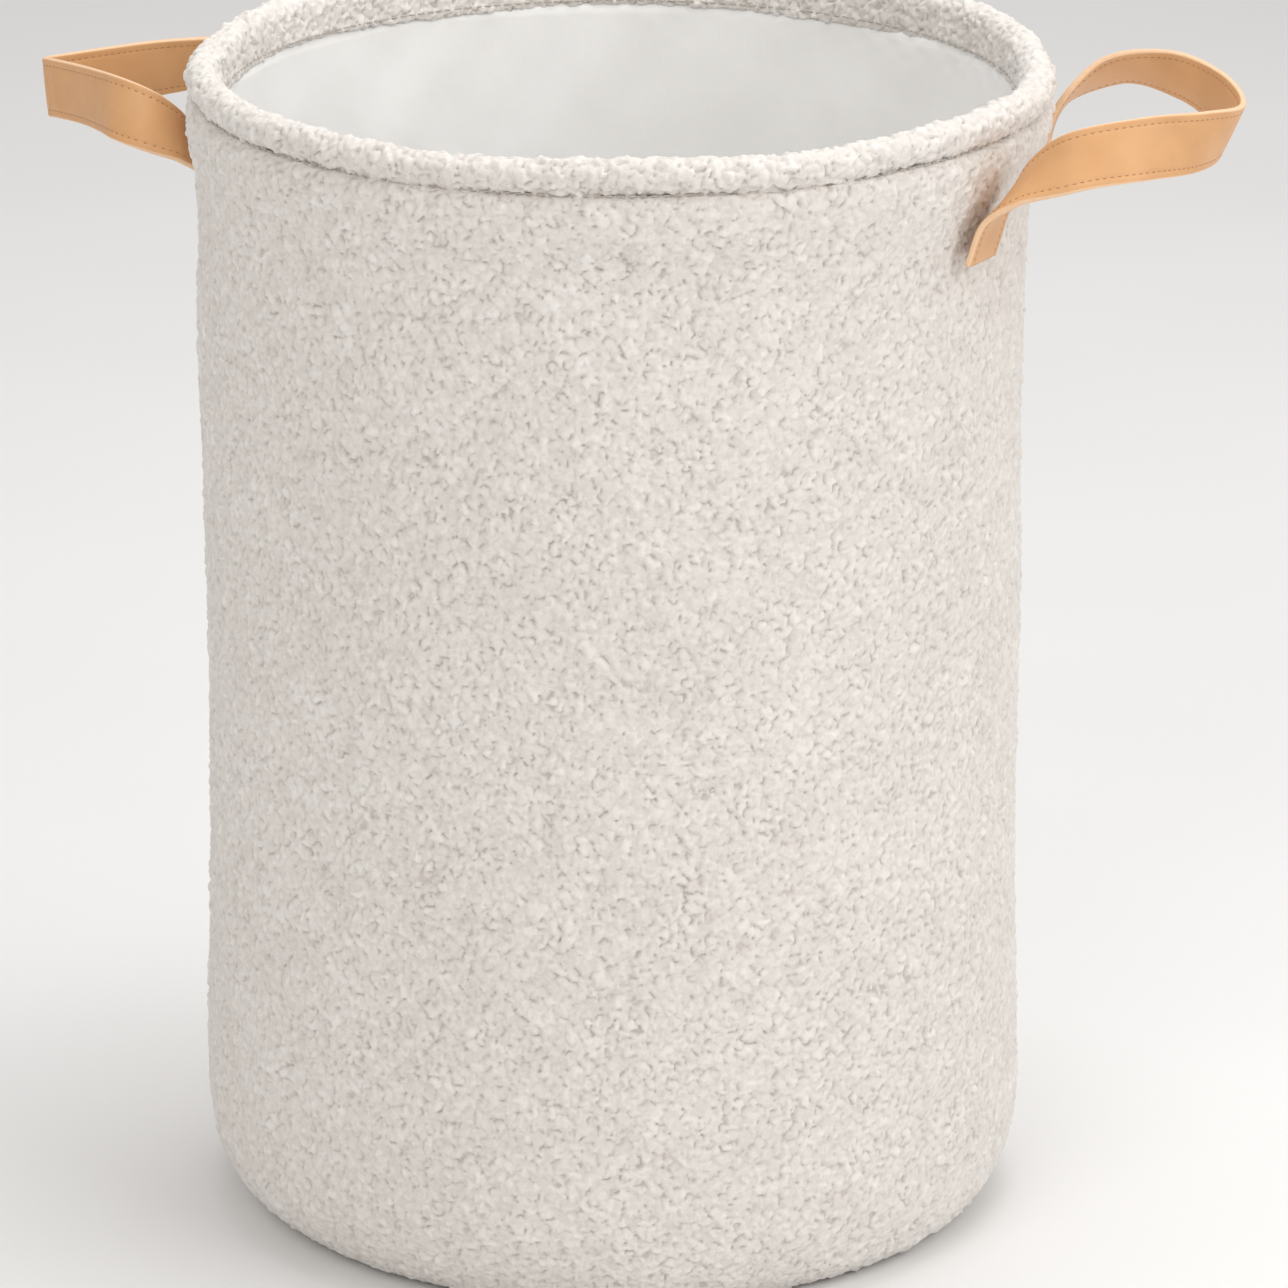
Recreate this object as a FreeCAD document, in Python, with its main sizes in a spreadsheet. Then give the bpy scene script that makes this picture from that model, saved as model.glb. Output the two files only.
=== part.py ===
"""Fabric storage bin with a wired rim and two strap handles. Millimetres, +Z up.

The origin is the centre of the underside. +X points through the middle of the right handle;
the left handle is sewn a little nearer the rear, and -Y is the front. The cloth layers are
revolved shells, nested from the outside inwards.
"""

import FreeCAD, Part

import math
import os
import re

import Sketcher

doc = FreeCAD.newDocument("FabricStorageBin")

# ---------------------------------------------------------------- driving dimensions
DIMENSIONS = {
    # whole bin, measured over the pile of the cloth
    "bin_height": 497.0,
    "rim_radius": 180.0,
    "wall_top_radius": 172.0,
    "wall_low_radius": 174.0,
    "edge_round": 27.0,
    # layers of the wall and base, as depths below the outside of the pile
    "cloth_thickness": 4.0,
    "interlining_depth": 4.1,
    "interlining_thickness": 2.7,
    "lining_depth": 6.9,
    "lining_thickness": 1.0,
    "base_clearance": 1.0,
    "clearance": 0.3,
    # rolled rim
    "roll_radius": 7.5,
    "roll_bore": 3.4,
    "facing_drop": 20.0,
    "facing_thickness": 3.5,
    "wire_radius": 2.0,
    "casing_inner": 2.1,
    "casing_outer": 3.3,
    "ferrule_outer": 2.9,
    "ferrule_sweep": 11.0,
    "ferrule_gap": 1.0,
    "seam_thread": 0.45,
    "thread_gap": 0.2,
    # straps
    "strap_width": 25.4,
    "strap_thickness": 2.8,
    "tab_angle": 18.5,
    "tab_bottom": 435.0,
    "tab_height": 21.0,
    "grip_start": 219.0,
    "grip_half_gap": 27.0,
    "right_grip_bottom": 472.5,
    "right_reach_low": 256.0,
    "right_reach_high": 264.0,
    "left_grip_bottom": 449.0,
    "left_reach_low": 262.0,
    "left_reach_high": 264.0,
    # thread in the straps
    "stitch_inset": 3.5,
    "thread_size": 0.6,
}

dims = doc.addObject("Spreadsheet::Sheet", "dims")
for row, (alias, value) in enumerate(DIMENSIONS.items(), start=1):
    dims.set(f"A{row}", alias)
    dims.set(f"B{row}", str(value))
    dims.setAlias(f"B{row}", alias)
doc.recompute()

# Recurring expressions of those dimensions.
EDGE_CENTRE = "(wall_low_radius - edge_round)"
BASE_RADIUS = "(wall_low_radius - edge_round - base_clearance)"
ROLL_RING = "(rim_radius - roll_radius)"
ROLL_LEVEL = "(bin_height - roll_radius)"
WALL_END = "(bin_height - 2 * roll_radius - clearance)"
FACING_INNER = "(wall_top_radius - lining_depth - lining_thickness)"
TAB_INNER = "(wall_top_radius + clearance)"
TAB_OUTER = "(wall_top_radius + clearance + strap_thickness)"
GRIP_OUTER = "(grip_half_gap + strap_thickness / 2)"
GRIP_INNER = "(grip_half_gap - strap_thickness / 2)"

ORIGIN_POINT = (-1, 1)
X_AXIS = -1
Y_AXIS = -2
START, END, CENTRE = 1, 2, 3
SIDES = {"front": -1, "rear": 1}
HANDLES = {"right": 0.0, "left": 170.0}  # how far each handle is turned about Z
LEG_SECTIONS = 5
# How firmly a leg keeps the way it leaves its tab and meets its grip, in strap widths.
LEG_LEAN, LEG_RISE, LEG_RUN = 0.3, 1.0, 1.6

pieces = []


# ---------------------------------------------------------------- helpers
def linked(expression):
    """The expression with each dimension's name pointing at the sheet."""
    return re.sub(
        r"[a-z]\w*", lambda word: f"dims.{word[0]}" if word[0] in DIMENSIONS else word[0], expression
    )


def value_of(expression):
    return float(dims.evalExpression(expression))


def drive(obj, **expressions):
    """Binds properties to the sheet. placed_z and turned_by stand for parts of the Placement."""
    paths = {"placed_z": "Placement.Base.z", "turned_by": "Placement.Rotation.Angle"}
    for name, expression in expressions.items():
        obj.setExpression(paths.get(name, name), linked(expression))


def keep(obj, label):
    """Marks an object as one of the bin's pieces, and names its file."""
    obj.Label = label
    pieces.append(obj)
    return obj


def new_body(name):
    return doc.addObject("PartDesign::Body", name)


def new_sketch(body, name, role):
    sketch = body.newObject("Sketcher::SketchObject", name)
    plane = next(item for item in body.Origin.OriginFeatures if item.Role == role)
    sketch.AttachmentSupport = (plane, [""])
    sketch.MapMode = "FlatFace"
    return sketch


def bind(sketch, kind, geometry, expression):
    """Adds a size constraint to a sketch and binds it to the sheet."""
    index = sketch.addConstraint(Sketcher.Constraint(kind, *geometry, value_of(expression)))
    name = f"size_{index}"
    sketch.renameConstraint(index, name)
    sketch.setExpression(f"Constraints.{name}", linked(expression))


def pin(sketch, point, across, up):
    """Fixes a sketch point at a distance across and up from the sketch's origin."""
    for kind, axis, expression in (("DistanceX", Y_AXIS, across), ("DistanceY", X_AXIS, up)):
        if expression == "0":
            sketch.addConstraint(Sketcher.Constraint("PointOnObject", *point, axis))
        else:
            bind(sketch, kind, (*ORIGIN_POINT, *point), expression)


def join(sketch, *pairs):
    for first, second in pairs:
        sketch.addConstraint(Sketcher.Constraint("Coincident", *first, *second))


def line(sketch, start, end):
    """Adds a line between two (x, y) points and returns its index."""
    return sketch.addGeometry(
        Part.LineSegment(FreeCAD.Vector(*start, 0), FreeCAD.Vector(*end, 0)), False
    )


def circle(sketch, centre, radius):
    shape = Part.Circle(FreeCAD.Vector(*centre, 0), FreeCAD.Vector(0, 0, 1), radius)
    return sketch.addGeometry(shape, False)


def arc(sketch, centre, radius, from_angle, to_angle):
    shape = Part.Circle(FreeCAD.Vector(*centre, 0), FreeCAD.Vector(0, 0, 1), radius)
    angles = (math.radians(from_angle), math.radians(to_angle))
    return sketch.addGeometry(Part.ArcOfCircle(shape, *angles), False)


def revolve(body, sketch, name):
    """Adds a full turn of the sketch about the bin's axis."""
    turn = body.newObject("PartDesign::Revolution", name)
    turn.Profile = sketch
    turn.ReferenceAxis = (sketch, ["V_Axis"])
    turn.Angle = 360
    return turn


# ---------------------------------------------------------------- cloth layers
def layer(name, depth, thickness, top):
    """One layer of the wall: a sleeve that turns in under the rounded bottom edge."""
    body = new_body(name)
    sketch = new_sketch(body, f"{name}_profile", "XZ_Plane")
    outer_bend = f"(edge_round - {depth})"
    inner_bend = f"(edge_round - {depth} - {thickness})"
    outer_top = f"(wall_top_radius - {depth})"
    inner_top = f"(wall_top_radius - {depth} - {thickness})"
    centre = (value_of(EDGE_CENTRE), value_of("edge_round"))
    big, small = value_of(outer_bend), value_of(inner_bend)
    high = value_of(top)

    under = arc(sketch, centre, big, 270, 360)
    outside = line(sketch, (centre[0] + big, centre[1]), (value_of(outer_top), high))
    brim = line(sketch, (value_of(outer_top), high), (value_of(inner_top), high))
    inside = line(sketch, (value_of(inner_top), high), (centre[0] + small, centre[1]))
    over = arc(sketch, centre, small, 270, 360)
    hem = line(sketch, (centre[0], centre[1] - small), (centre[0], centre[1] - big))
    join(
        sketch,
        ((under, END), (outside, START)),
        ((outside, END), (brim, START)),
        ((brim, END), (inside, START)),
        ((inside, END), (over, END)),
        ((over, START), (hem, START)),
        ((hem, END), (under, START)),
        ((under, CENTRE), (over, CENTRE)),
    )
    pin(sketch, (under, CENTRE), EDGE_CENTRE, "edge_round")
    bind(sketch, "Radius", (under,), outer_bend)
    bind(sketch, "Radius", (over,), inner_bend)
    sketch.addConstraint(Sketcher.Constraint("Vertical", hem))
    sketch.addConstraint(Sketcher.Constraint("Vertical", hem, END, under, CENTRE))
    sketch.addConstraint(Sketcher.Constraint("Horizontal", under, CENTRE, outside, START))
    sketch.addConstraint(Sketcher.Constraint("Horizontal", under, CENTRE, inside, END))
    pin(sketch, (brim, START), outer_top, top)
    pin(sketch, (brim, END), inner_top, top)
    revolve(body, sketch, f"{name}_turn")
    return body


def add_roll(body):
    """The hem rolled round the wire, a ring with a bore for the wire and its casing."""
    sketch = new_sketch(body, "roll_profile", "XZ_Plane")
    centre = (value_of(ROLL_RING), value_of(ROLL_LEVEL))
    skin = circle(sketch, centre, value_of("roll_radius"))
    bore = circle(sketch, centre, value_of("roll_bore"))
    join(sketch, ((skin, CENTRE), (bore, CENTRE)))
    pin(sketch, (skin, CENTRE), ROLL_RING, ROLL_LEVEL)
    bind(sketch, "Radius", (skin,), "roll_radius")
    bind(sketch, "Radius", (bore,), "roll_bore")
    revolve(body, sketch, "roll_turn")


def add_facing(body):
    """The end of the hem that comes down inside the rim, over the top of the lining."""
    sketch = new_sketch(body, "facing_profile", "XZ_Plane")
    left, right = FACING_INNER, f"({FACING_INNER} + facing_thickness)"
    low, high = "(bin_height - facing_drop)", f"({ROLL_LEVEL} - roll_bore)"
    corners = [(left, low), (right, low), (right, high), (left, high)]
    spots = [(value_of(across), value_of(up)) for across, up in corners]
    edges = [line(sketch, spots[i], spots[(i + 1) % 4]) for i in range(4)]
    join(sketch, *(((edges[i], END), (edges[(i + 1) % 4], START)) for i in range(4)))
    for edge, (across, up) in zip(edges, corners):
        pin(sketch, (edge, START), across, up)
    revolve(body, sketch, "facing_turn")


def disc(name, depth, thickness):
    """One layer of the base."""
    plate = doc.addObject("Part::Cylinder", name)
    drive(plate, Radius=BASE_RADIUS, Height=thickness, placed_z=depth)
    return plate


keep(layer("OuterWall", "0", "cloth_thickness", WALL_END), "outer_wall")
rim_roll = keep(new_body("RimRoll"), "rim_roll")
add_roll(rim_roll)
add_facing(rim_roll)
keep(
    layer(
        "Interlining",
        "interlining_depth",
        "interlining_thickness",
        "(bin_height - facing_drop - clearance)",
    ),
    "wall_interlining",
)
keep(
    layer(
        "LiningWall", "lining_depth", "lining_thickness", "(bin_height - facing_drop - clearance)"
    ),
    "lining_wall",
)
keep(disc("OuterBase", "0", "cloth_thickness"), "outer_base")
keep(disc("BaseBoard", "interlining_depth", "interlining_thickness"), "base_board")
keep(disc("LiningBase", "lining_depth", "lining_thickness"), "lining_base")


# ---------------------------------------------------------------- rim wire and seams
def ring(name, radius, tube, level):
    """A round ring about the bin's axis."""
    torus = doc.addObject("Part::Torus", name)
    drive(torus, Radius1=radius, Radius2=tube, placed_z=level)
    return torus


def cut(name, base, tool):
    result = doc.addObject("Part::Cut", name)
    result.Base = base
    result.Tool = tool
    return result


def sleeve_on_wire(name, inner, outer, sweep, start):
    """A tube bent round part of the rim, with its bore on the wire."""
    skin = ring(f"{name}Skin", ROLL_RING, outer, ROLL_LEVEL)
    bore = ring(f"{name}Bore", ROLL_RING, inner, ROLL_LEVEL)
    for torus in (skin, bore):
        drive(torus, Angle3=sweep, turned_by=start)
    return cut(name, skin, bore)


REAR = "90"  # the wire's ends meet at the back
keep(ring("RimWire", ROLL_RING, "wire_radius", ROLL_LEVEL), "rim_wire")
keep(
    sleeve_on_wire(
        "RimCasing",
        "casing_inner",
        "casing_outer",
        "(360 - ferrule_sweep)",
        f"({REAR} + ferrule_sweep / 2)",
    ),
    "rim_wire_casing",
)
keep(
    sleeve_on_wire(
        "RimFerrule",
        "casing_inner",
        "ferrule_outer",
        "(ferrule_sweep - ferrule_gap)",
        f"({REAR} - ferrule_sweep / 2 + ferrule_gap / 2)",
    ),
    "rim_wire_ferrule",
)
SEAMS = {
    # the stitched line under the roll, in the notch between the roll and the wall
    "rim_seam_thread": (
        "(wall_top_radius + seam_thread + thread_gap)",
        "(bin_height - 2 * roll_radius - seam_thread - thread_gap)",
    ),
    # inside, just above the facing's lower edge
    "facing_seam_thread": (
        f"({FACING_INNER} - seam_thread - thread_gap)",
        "(bin_height - facing_drop + stitch_inset)",
    ),
    # in the gaps between the base discs and the turned-in wall
    "base_seam_thread": (f"({BASE_RADIUS} + base_clearance / 2)", "cloth_thickness / 2"),
    "lining_seam_thread": (
        f"({BASE_RADIUS} + base_clearance / 2)",
        "(lining_depth + lining_thickness / 2)",
    ),
}
for label, (radius, level) in SEAMS.items():
    keep(ring(f"{label}_ring", radius, "seam_thread", level), label)


# ---------------------------------------------------------------- strap handles
def sector(name, radius, width, bottom, height, turn):
    """A wedge of a cylinder about the bin's axis, centred on an angle in degrees."""
    wedge = doc.addObject("Part::Cylinder", name)
    sweep = f"({width} / {TAB_INNER} * 180 / pi)"
    drive(
        wedge,
        Radius=radius,
        Height=height,
        Angle=sweep,
        placed_z=bottom,
        turned_by=f"({turn} - {sweep} / 2)",
    )
    return wedge


def curved_plate(name, inner, outer, width, bottom, height, turn):
    """A plate that lies on the round wall."""
    block = sector(f"{name}Block", outer, width, bottom, height, turn)
    core = doc.addObject("Part::Cylinder", f"{name}Core")
    drive(core, Radius=inner, Height=height, placed_z=bottom)
    return cut(name, block, core)


def box_stitch(name, turn):
    """A rectangle of thread just inside a tab's edges, on its outer face."""
    inner, outer = f"({TAB_OUTER} + thread_gap)", f"({TAB_OUTER} + thread_gap + thread_size)"
    frame = curved_plate(
        f"{name}Frame",
        inner,
        outer,
        "(strap_width - 2 * stitch_inset)",
        "(tab_bottom + stitch_inset)",
        "(tab_height - 2 * stitch_inset)",
        turn,
    )
    window = sector(
        f"{name}Window",
        outer,
        "(strap_width - 2 * stitch_inset - 2 * thread_size)",
        "(tab_bottom + stitch_inset + thread_size)",
        "(tab_height - 2 * stitch_inset - 2 * thread_size)",
        turn,
    )
    return cut(name, frame, window)


def strap_section(body, name, spot, rotation):
    """The strap's rectangular cross-section, centred on a point of its path."""
    sketch = new_sketch(body, name, "XY_Plane")
    sketch.AttachmentOffset = FreeCAD.Placement(spot, rotation)
    across, up = value_of("strap_width") / 2, value_of("strap_thickness") / 2
    spots = [(-across, -up), (across, -up), (across, up), (-across, up)]
    edges = [line(sketch, spots[i], spots[(i + 1) % 4]) for i in range(4)]
    join(sketch, *(((edges[i], END), (edges[(i + 1) % 4], START)) for i in range(4)))
    for edge, kind in zip(edges, ("Horizontal", "Vertical", "Horizontal", "Vertical")):
        sketch.addConstraint(Sketcher.Constraint(kind, edge))
    middle = (edges[0], START, edges[1], END, *ORIGIN_POINT)
    sketch.addConstraint(Sketcher.Constraint("Symmetric", *middle))
    bind(sketch, "DistanceX", (edges[0], START, edges[0], END), "strap_width")
    bind(sketch, "DistanceY", (edges[1], START, edges[1], END), "strap_thickness")
    return sketch


def frame_rotation(width_way, path_way):
    """The turn that lays a section's width and the path's direction along two vectors."""
    face_way = path_way.cross(width_way)
    return FreeCAD.Rotation(width_way, face_way, path_way, "ZXY")


def leg(name, handle, side):
    """The strap between a tab and the grip: it leaves the tab upwards, curls outwards and
    turns on edge, so the edge that is nearer the handle's middle becomes the upper edge."""
    turn = math.radians(value_of("tab_angle"))
    radius = value_of(f"{TAB_INNER} + strap_thickness / 2")
    gap = value_of("clearance")
    level = value_of("tab_bottom + tab_height")
    grip_middle = value_of(f"{handle}_grip_bottom + strap_width / 2")
    begin = FreeCAD.Vector(
        radius * math.cos(turn), side * radius * math.sin(turn), level + gap
    )
    finish = FreeCAD.Vector(
        value_of("grip_start - clearance"), side * value_of("grip_half_gap"), grip_middle
    )
    width = value_of("strap_width")
    leave = FreeCAD.Vector(LEG_LEAN * width, 0, LEG_RISE * width)
    arrive = FreeCAD.Vector(LEG_RUN * width, 0, 0)
    tangent = FreeCAD.Vector(math.sin(turn), -side * math.cos(turn), 0)
    on_wall = frame_rotation(tangent, FreeCAD.Vector(0, 0, 1))
    on_edge = frame_rotation(FreeCAD.Vector(0, 0, 1), FreeCAD.Vector(1, 0, 0))

    body = new_body(name)
    sections = []
    for number in range(LEG_SECTIONS):
        share = number / (LEG_SECTIONS - 1)
        spot = (
            begin * (2 * share**3 - 3 * share**2 + 1)
            + leave * (share**3 - 2 * share**2 + share)
            + finish * (3 * share**2 - 2 * share**3)
            + arrive * (share**3 - share**2)
        )
        rotation = on_wall.slerp(on_edge, share)
        sections.append(strap_section(body, f"{name}Section{number}", spot, rotation))
    loft = body.newObject("PartDesign::AdditiveLoft", f"{name}Loft")
    loft.Profile = sections[0]
    loft.Sections = sections[1:]
    loft.Ruled = False
    body.Placement.Rotation = FreeCAD.Rotation(FreeCAD.Vector(0, 0, 1), HANDLES[handle])
    return body


def bow(body, name, level, reach, inner, outer):
    """A horseshoe outline: two parallel runs that start at the legs, joined by half a turn."""
    sketch = new_sketch(body, name, "XY_Plane")
    sketch.setExpression("AttachmentOffset.Base.z", linked(level))
    middle = f"({reach} - {GRIP_OUTER})"
    begin, centre = value_of("grip_start"), value_of(middle)
    small, big = value_of(inner), value_of(outer)
    front_out = line(sketch, (begin, -big), (centre, -big))
    tip_out = arc(sketch, (centre, 0), big, -90, 90)
    rear_out = line(sketch, (centre, big), (begin, big))
    rear_cap = line(sketch, (begin, big), (begin, small))
    rear_in = line(sketch, (begin, small), (centre, small))
    tip_in = arc(sketch, (centre, 0), small, -90, 90)
    front_in = line(sketch, (centre, -small), (begin, -small))
    front_cap = line(sketch, (begin, -small), (begin, -big))
    join(
        sketch,
        ((front_out, END), (tip_out, START)),
        ((tip_out, END), (rear_out, START)),
        ((rear_out, END), (rear_cap, START)),
        ((rear_cap, END), (rear_in, START)),
        ((rear_in, END), (tip_in, END)),
        ((tip_in, START), (front_in, START)),
        ((front_in, END), (front_cap, START)),
        ((front_cap, END), (front_out, START)),
        ((tip_out, CENTRE), (tip_in, CENTRE)),
    )
    for edge in (front_out, rear_out, rear_in, front_in):
        sketch.addConstraint(Sketcher.Constraint("Horizontal", edge))
    for cap in (rear_cap, front_cap):
        sketch.addConstraint(Sketcher.Constraint("Vertical", cap))
    for end in ((tip_out, START), (tip_out, END), (tip_in, START), (tip_in, END)):
        sketch.addConstraint(Sketcher.Constraint("Vertical", *end, tip_out, CENTRE))
    pin(sketch, (tip_out, CENTRE), middle, "0")
    bind(sketch, "Radius", (tip_out,), outer)
    bind(sketch, "Radius", (tip_in,), inner)
    bind(sketch, "DistanceX", (*ORIGIN_POINT, rear_cap, START), "grip_start")
    bind(sketch, "DistanceX", (*ORIGIN_POINT, front_cap, START), "grip_start")
    return sketch


def grip(name, handle):
    """The part of the strap that the hand holds. Its upper edge stands a little further out."""
    body = new_body(name)
    levels = {
        "Low": (f"{handle}_grip_bottom", f"{handle}_reach_low"),
        "High": (f"({handle}_grip_bottom + strap_width)", f"{handle}_reach_high"),
    }
    low, high = (
        bow(body, f"{name}{key}", level, reach, GRIP_INNER, GRIP_OUTER)
        for key, (level, reach) in levels.items()
    )
    loft = body.newObject("PartDesign::AdditiveLoft", f"{name}Loft")
    loft.Profile = low
    loft.Sections = [high]
    loft.Ruled = True
    body.Placement.Rotation = FreeCAD.Rotation(FreeCAD.Vector(0, 0, 1), HANDLES[handle])
    return body


def edge_threads(name, handle):
    """The rows of thread near both edges of a grip, on both of its faces."""
    threads = []
    faces = {
        "Out": (f"({GRIP_OUTER} + thread_gap)", f"({GRIP_OUTER} + thread_gap + thread_size)"),
        "In": (f"({GRIP_INNER} - thread_gap - thread_size)", f"({GRIP_INNER} - thread_gap)"),
    }
    rows = {"Low": "stitch_inset", "High": "(strap_width - stitch_inset - thread_size)"}
    for face, (inner, outer) in faces.items():
        for row_name, rise in rows.items():
            flare = f"({handle}_reach_high - {handle}_reach_low)"
            reach = f"({handle}_reach_low + {flare} * {rise} / strap_width)"
            thread = new_body(f"{name}{face}{row_name}")
            outline = bow(
                thread,
                f"{name}{face}{row_name}Outline",
                f"({handle}_grip_bottom + {rise})",
                reach,
                inner,
                outer,
            )
            pad = thread.newObject("PartDesign::Pad", f"{name}{face}{row_name}Pad")
            pad.Profile = outline
            drive(pad, Length="thread_size")
            threads.append(thread)
    group = doc.addObject("Part::Compound", name)
    group.Links = threads
    group.Placement.Rotation = FreeCAD.Rotation(FreeCAD.Vector(0, 0, 1), HANDLES[handle])
    return group


for handle, turned in HANDLES.items():
    stitches = []
    for side_name, side in SIDES.items():
        title = f"{handle.title()}{side_name.title()}"
        # Turning the left handle half round swaps its front and rear, so its sides swap too.
        across = side if handle == "right" else -side
        turn = f"({turned} + {across} * tab_angle)"
        tab = curved_plate(
            f"{title}Tab", TAB_INNER, TAB_OUTER, "strap_width", "tab_bottom", "tab_height", turn
        )
        keep(tab, f"{handle}_handle_{side_name}_tab")
        keep(leg(f"{title}Leg", handle, across), f"{handle}_handle_{side_name}_leg")
        stitches.append(box_stitch(f"{title}Stitch", turn))
    keep(grip(f"{handle.title()}Grip", handle), f"{handle}_handle_grip")
    keep(edge_threads(f"{handle.title()}Thread", handle), f"{handle}_handle_edge_threads")
    both = doc.addObject("Part::Compound", f"{handle.title()}TabStitches")
    both.Links = stitches
    keep(both, f"{handle}_handle_tab_stitches")

# ---------------------------------------------------------------- check and write
doc.recompute()
for obj in doc.Objects:
    if {"Invalid", "Error"} & set(obj.State):
        raise RuntimeError(f"{obj.Name} did not recompute: {obj.State}")
for piece in pieces:
    if piece.Shape.isNull() or not piece.Shape.isValid():
        raise RuntimeError(f"{piece.Label} has no valid shape")

os.makedirs("parts", exist_ok=True)
for piece in pieces:
    piece.Shape.exportStep(f"parts/{piece.Label}.step")
    box = piece.Shape.BoundBox
    print(
        f"{piece.Label}: {len(piece.Shape.Solids)} solid(s), {piece.Shape.Volume:.0f} mm3, "
        f"x {box.XMin:.1f} to {box.XMax:.1f}, y {box.YMin:.1f} to {box.YMax:.1f}, "
        f"z {box.ZMin:.1f} to {box.ZMax:.1f}"
    )
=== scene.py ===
import math

import bpy
import numpy as np
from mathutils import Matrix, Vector


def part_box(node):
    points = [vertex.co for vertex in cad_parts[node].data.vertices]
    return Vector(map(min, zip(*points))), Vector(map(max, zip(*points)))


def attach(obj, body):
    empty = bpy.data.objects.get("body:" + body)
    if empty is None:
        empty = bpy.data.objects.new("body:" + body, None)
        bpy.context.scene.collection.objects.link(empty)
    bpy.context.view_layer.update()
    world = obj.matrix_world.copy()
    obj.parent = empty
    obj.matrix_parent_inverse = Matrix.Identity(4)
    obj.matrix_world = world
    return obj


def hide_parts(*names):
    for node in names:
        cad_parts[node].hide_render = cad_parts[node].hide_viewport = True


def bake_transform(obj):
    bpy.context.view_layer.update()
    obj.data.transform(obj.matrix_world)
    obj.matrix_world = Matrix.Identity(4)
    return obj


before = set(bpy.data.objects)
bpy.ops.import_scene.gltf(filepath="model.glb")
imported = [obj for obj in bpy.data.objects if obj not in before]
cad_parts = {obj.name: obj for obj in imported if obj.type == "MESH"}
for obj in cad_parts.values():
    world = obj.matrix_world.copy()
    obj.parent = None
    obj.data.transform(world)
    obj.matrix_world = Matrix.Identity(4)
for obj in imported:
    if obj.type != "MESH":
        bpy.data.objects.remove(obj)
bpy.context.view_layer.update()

# A round storage bin of cream boucle cloth with two tan straps. Lengths are in millimetres
# here and turn into metres where a mesh is made.
MM = 0.001
TURN = 2 * math.pi


def cad_box(node):
    """Lowest and highest corner of a CAD node, in millimetres."""
    low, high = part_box(node)
    return np.array(low) / MM, np.array(high) / MM


# ---------------------------------------------------------------- sizes from the CAD model
ROLL = 7.5  # radius of the rolled rim
RIM_R = cad_box("rim_roll")[1][0]
TOP = cad_box("rim_roll")[1][2]
RING_R = RIM_R - ROLL
RING_Z = TOP - ROLL
FACING_Z = cad_box("rim_roll")[0][2]  # lowest edge of the facing inside the bin
WALL_R = cad_box("outer_wall")[1][0]
BASE_R = cad_box("outer_base")[1][0]
LINING_R = cad_box("lining_wall")[1][0] - 1.0  # inner face of the lining
LINING_FLOOR = cad_box("lining_base")[1][2]
SEAM_Z = RING_Z - 8.0  # stitched line under the roll
CELL = 0.75  # spacing of the pile's grid
INSET = 0.9  # the cloth's mean surface lies this far inside the CAD solid's outer face
RADIAN = 172  # length round the wall for one radian: makes heights comparable with angles


# ---------------------------------------------------------------- meshes
def new_object(name, mesh, material):
    piece = bpy.data.objects.new(name, mesh)
    bpy.context.scene.collection.objects.link(piece)
    mesh.materials.append(material)
    return piece


def mesh_from(name, points, faces, attributes=None):
    """A smooth mesh from points in millimetres and equal-sided faces."""
    sides = faces.shape[1]
    mesh = bpy.data.meshes.new(name)
    mesh.vertices.add(len(points))
    mesh.vertices.foreach_set("co", (points * MM).astype(np.float32).ravel())
    mesh.loops.add(faces.size)
    mesh.loops.foreach_set("vertex_index", faces.astype(np.int32).ravel())
    mesh.polygons.add(len(faces))
    mesh.polygons.foreach_set("loop_start", np.arange(0, faces.size, sides, dtype=np.int32))
    mesh.polygons.foreach_set("use_smooth", np.ones(len(faces), bool))
    mesh.update(calc_edges=True)
    for key, values in (attributes or {}).items():
        mesh.attributes.new(key, "FLOAT", "POINT").data.foreach_set(
            "value", values.astype(np.float32).ravel()
        )
    return mesh


def grid_faces(rows, cols, closed=False):
    index = np.arange(rows * cols).reshape(rows, cols)
    if closed:
        index = np.hstack([index, index[:, :1]])
    corners = index[:-1, :-1], index[:-1, 1:], index[1:, 1:], index[1:, :-1]
    return np.stack(corners, -1).reshape(-1, 4)


def unit(vectors):
    return vectors / np.maximum(np.linalg.norm(vectors, axis=-1, keepdims=True), 1e-9)


# ---------------------------------------------------------------- the pile
NUBS = (  # spacing, half lengths, half widths, rise, level
    (3.2, (1.7, 3.1), (1.3, 2.1), 1.2, 0.0),
    (2.1, (1.2, 2.0), (0.9, 1.4), 0.9, -0.1),
)
FAR_DOWN = 9  # a nub's height outside its own outline: low enough to vanish
PILE_MEAN = 0.75  # height of the pile that lies on the cloth's mean surface


def pile(u, v, around, seed):
    """Height of the boucle's nubs over a flat cloth, and a tone for each nub.

    u runs round the cloth and wraps after `around`; v runs up it. Big nubs stand over small
    ones, and neighbours meet in soft creases.
    """
    soft = 6.0  # per millimetre: how sharply two nubs meet
    total = np.full(u.shape, math.exp(-0.15 * soft))
    highest = np.full(u.shape, -float(FAR_DOWN))
    colour = np.full(u.shape, 0.5)
    for layer, (step, long, wide, rise, level) in enumerate(NUBS):
        for dome, tone in nubs(u, v, around, seed + layer, step, long, wide, rise):
            dome = dome + level
            total += np.exp(soft * dome)
            higher = dome > highest
            highest = np.where(higher, dome, highest)
            colour = np.where(higher, tone, colour)
    return np.log(total) / soft, colour


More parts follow.
